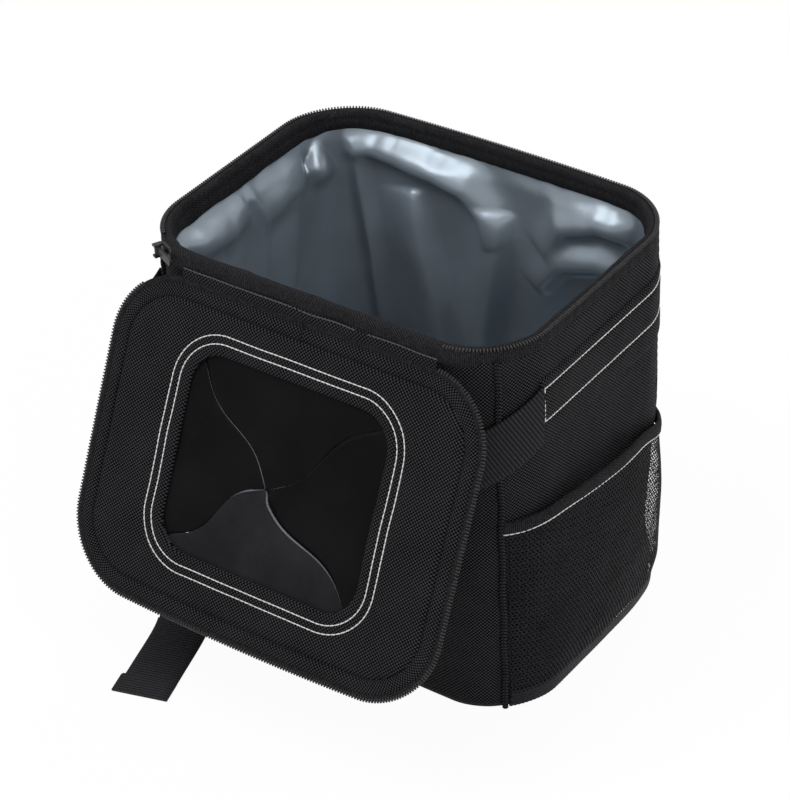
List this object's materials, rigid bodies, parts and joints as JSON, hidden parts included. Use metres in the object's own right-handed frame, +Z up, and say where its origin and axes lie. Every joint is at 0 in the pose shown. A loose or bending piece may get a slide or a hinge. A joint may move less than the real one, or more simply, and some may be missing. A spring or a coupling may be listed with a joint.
{
  "type": "car trash bin",
  "caption": "Soft lined car bin of black woven fabric with a zip lid, a slit rubber mouth in the lid, side mesh pockets and webbing straps.",
  "frame": {"origin": "middle of the base, on the floor", "axes": "+Z up, -Y towards the hinge side that the open lid hangs from, +X to the right seen from there"},
  "size_m": [0.2794, 0.2837, 0.2421],
  "materials": {
    "woven_fabric": "woven, matte",
    "binding": "ribbed tape, matte",
    "webbing": "ribbed",
    "mesh": "open mesh",
    "liner_film": "satin film",
    "foam": "padding",
    "board": "plain",
    "zip_tape": "woven tape",
    "zip_coil": "moulded",
    "zip_metal": "black",
    "rubber_sheet": "matte sheet"
  },
  "bodies": {
    "bin": {"front_panel": "woven_fabric", "back_panel": "woven_fabric", "left_panel": "woven_fabric", "right_panel": "woven_fabric", "base_panel": "woven_fabric", "base_board": "board", "wall_padding": "foam", "liner": "liner_film", "rim_binding": "binding", "rim_zip_tape": "zip_tape", "rim_zip_coil": "zip_coil", "corner_piping_front_left": "woven_fabric", "corner_piping_front_right": "woven_fabric", "corner_piping_back_right": "woven_fabric", "corner_piping_back_left": "woven_fabric", "strap_sleeve": "woven_fabric", "strap_left": "webbing", "strap_right": "webbing", "pocket_mesh_left": "mesh", "pocket_binding_left": "binding", "pocket_mesh_right": "mesh", "pocket_binding_right": "binding", "hinge_strip": "woven_fabric", "zip_slider": "zip_metal"},
    "lid": {"lid_inner_panel": "woven_fabric", "lid_foam": "foam", "lid_top_panel": "woven_fabric", "lid_diaphragm": "rubber_sheet", "lid_edge_binding": "binding", "lid_zip_tape": "zip_tape", "lid_zip_coil": "zip_coil"},
    "pull": {"zip_pull": "zip_metal"}
  },
  "joints": [
    {"name": "lid_hinge", "type": "hinge", "parent": "bin", "child": "lid", "pos_m": [0, -0.09712, 0.23761], "axis": [-1, 0, 0], "range_deg": [0, 244], "deforming": ["hinge_strip"]},
    {"name": "pull_turn", "type": "hinge", "parent": "bin", "child": "pull", "pos_m": [-0.10386, -0.0898, 0.237], "axis": [0, 0, -1], "range_deg": [0, 150]}
  ]
}
